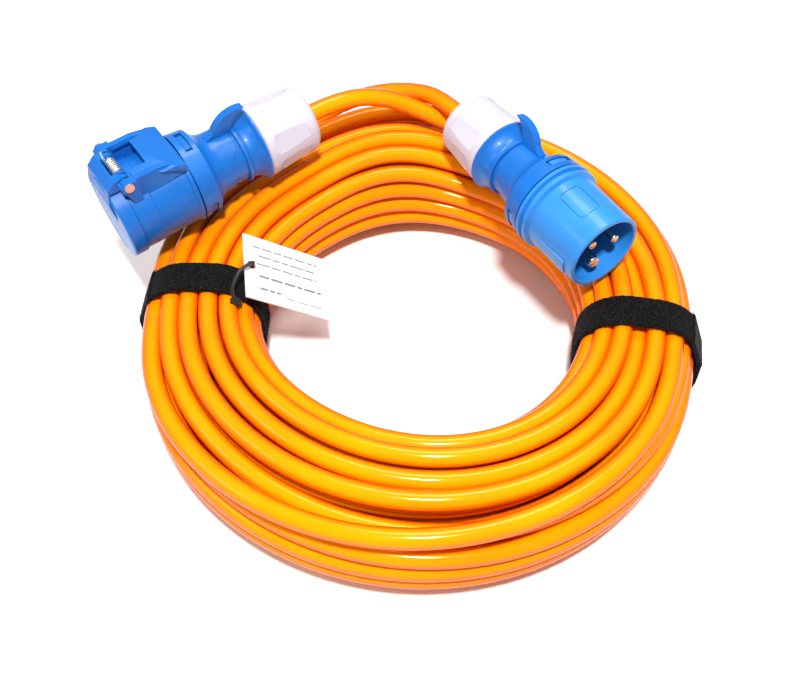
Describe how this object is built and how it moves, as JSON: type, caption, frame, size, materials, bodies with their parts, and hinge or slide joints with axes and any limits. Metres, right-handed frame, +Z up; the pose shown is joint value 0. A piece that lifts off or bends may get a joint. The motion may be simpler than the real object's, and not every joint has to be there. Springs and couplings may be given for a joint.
{
  "type": "shore power cord",
  "caption": "Coiled orange 16 A, 230 V shore power cord with a blue plug and a blue lidded connector, tied with black straps.",
  "frame": {"origin": "on the coil's axis, in the plane the coil rests on", "axes": "+Z up along the coil's axis; +X towards the plug's side of the coil, +Y towards the two gland nuts"},
  "size_m": [0.3369, 0.3097, 0.1243],
  "materials": {
    "cable_orange": "satin",
    "nut_white": "satin",
    "cage_grey": "satin",
    "seal_rubber": "matte",
    "housing_blue": "satin",
    "insert_blue": "satin",
    "steel": "bright",
    "contact_nickel": "bright",
    "core_green": "satin",
    "core_brown": "satin",
    "core_blue": "satin",
    "strap_black": "fuzzy hook and loop",
    "tag_white": "laminated card",
    "tie_black": "satin"
  },
  "bodies": {
    "base": {"cable_coil": "cable_orange", "cable_tail_connector": "cable_orange", "cable_tail_plug": "cable_orange", "connector_cable_jacket_end": "cable_orange", "connector_clamp_cage": "cage_grey", "connector_contact_insert": "insert_blue", "connector_earth_core": "core_green", "connector_earth_sleeve": "contact_nickel", "connector_front_housing": "housing_blue", "connector_gland_seal": "seal_rubber", "connector_live_core": "core_brown", "connector_live_sleeve": "contact_nickel", "connector_neutral_core": "core_blue", "connector_neutral_sleeve": "contact_nickel", "connector_rear_housing": "housing_blue", "connector_terminal_screws": "steel", "lid_hinge_pin": "steel", "lid_spring": "steel", "plug_cable_jacket_end": "cable_orange", "plug_clamp_cage": "cage_grey", "plug_contact_insert": "insert_blue", "plug_earth_core": "core_green", "plug_earth_pin": "contact_nickel", "plug_gland_seal": "seal_rubber", "plug_live_core": "core_brown", "plug_live_pin": "contact_nickel", "plug_neutral_core": "core_blue", "plug_neutral_pin": "contact_nickel", "plug_rear_housing": "housing_blue", "plug_shroud": "housing_blue", "plug_terminal_screws": "steel", "strap_left": "strap_black", "strap_right": "strap_black", "tag_tie": "tie_black"},
    "lid": {"lid": "housing_blue", "lid_gasket": "seal_rubber"},
    "plug_ring": {"plug_thrust_ring": "cage_grey"},
    "connector_ring": {"connector_thrust_ring": "cage_grey"},
    "plug_nut": {"plug_gland_nut": "nut_white"},
    "connector_nut": {"connector_gland_nut": "nut_white"},
    "tag": {"tag_card": "tag_white"}
  },
  "joints": [
    {"name": "lid_hinge", "type": "hinge", "parent": "base", "child": "lid", "pos_m": [-0.15794, 0.03083, 0.11586], "axis": [-0.59, 0.8074, 0], "range_deg": [0, 100], "stiffness_Nm_per_rad": 0.03, "springref_deg": -60.16, "deforming": ["lid_spring"]},
    {"name": "plug_nut_travel", "type": "slide", "parent": "base", "child": "plug_ring", "axis": [-0.5669, 0.8237, 0.0095], "range_m": [0, 0.003]},
    {"name": "plug_nut_turn", "type": "hinge", "parent": "plug_ring", "child": "plug_nut", "pos_m": [0.03898, 0.09079, 0.08883], "axis": [-0.5669, 0.8237, 0.0095], "range_deg": [0, 360]},
    {"name": "connector_nut_travel", "type": "slide", "parent": "base", "child": "connector_ring", "axis": [0.805, 0.5883, 0.0766], "range_m": [0, 0.003]},
    {"name": "connector_nut_turn", "type": "hinge", "parent": "connector_ring", "child": "connector_nut", "pos_m": [-0.07909, 0.08845, 0.09468], "axis": [0.805, 0.5883, 0.0766], "range_deg": [0, 360]},
    {"name": "tag_swing", "type": "hinge", "parent": "base", "child": "tag", "pos_m": [-0.08897, 0.00623, 0.06897], "axis": [0.1514, -0.9815, -0.1174], "range_deg": [-15, 15]}
  ],
  "couplings": [
    {"joint": "plug_nut_turn", "follows": "plug_nut_travel", "rad_per_m": 2094.4},
    {"joint": "connector_nut_turn", "follows": "connector_nut_travel", "rad_per_m": 2094.4}
  ]
}
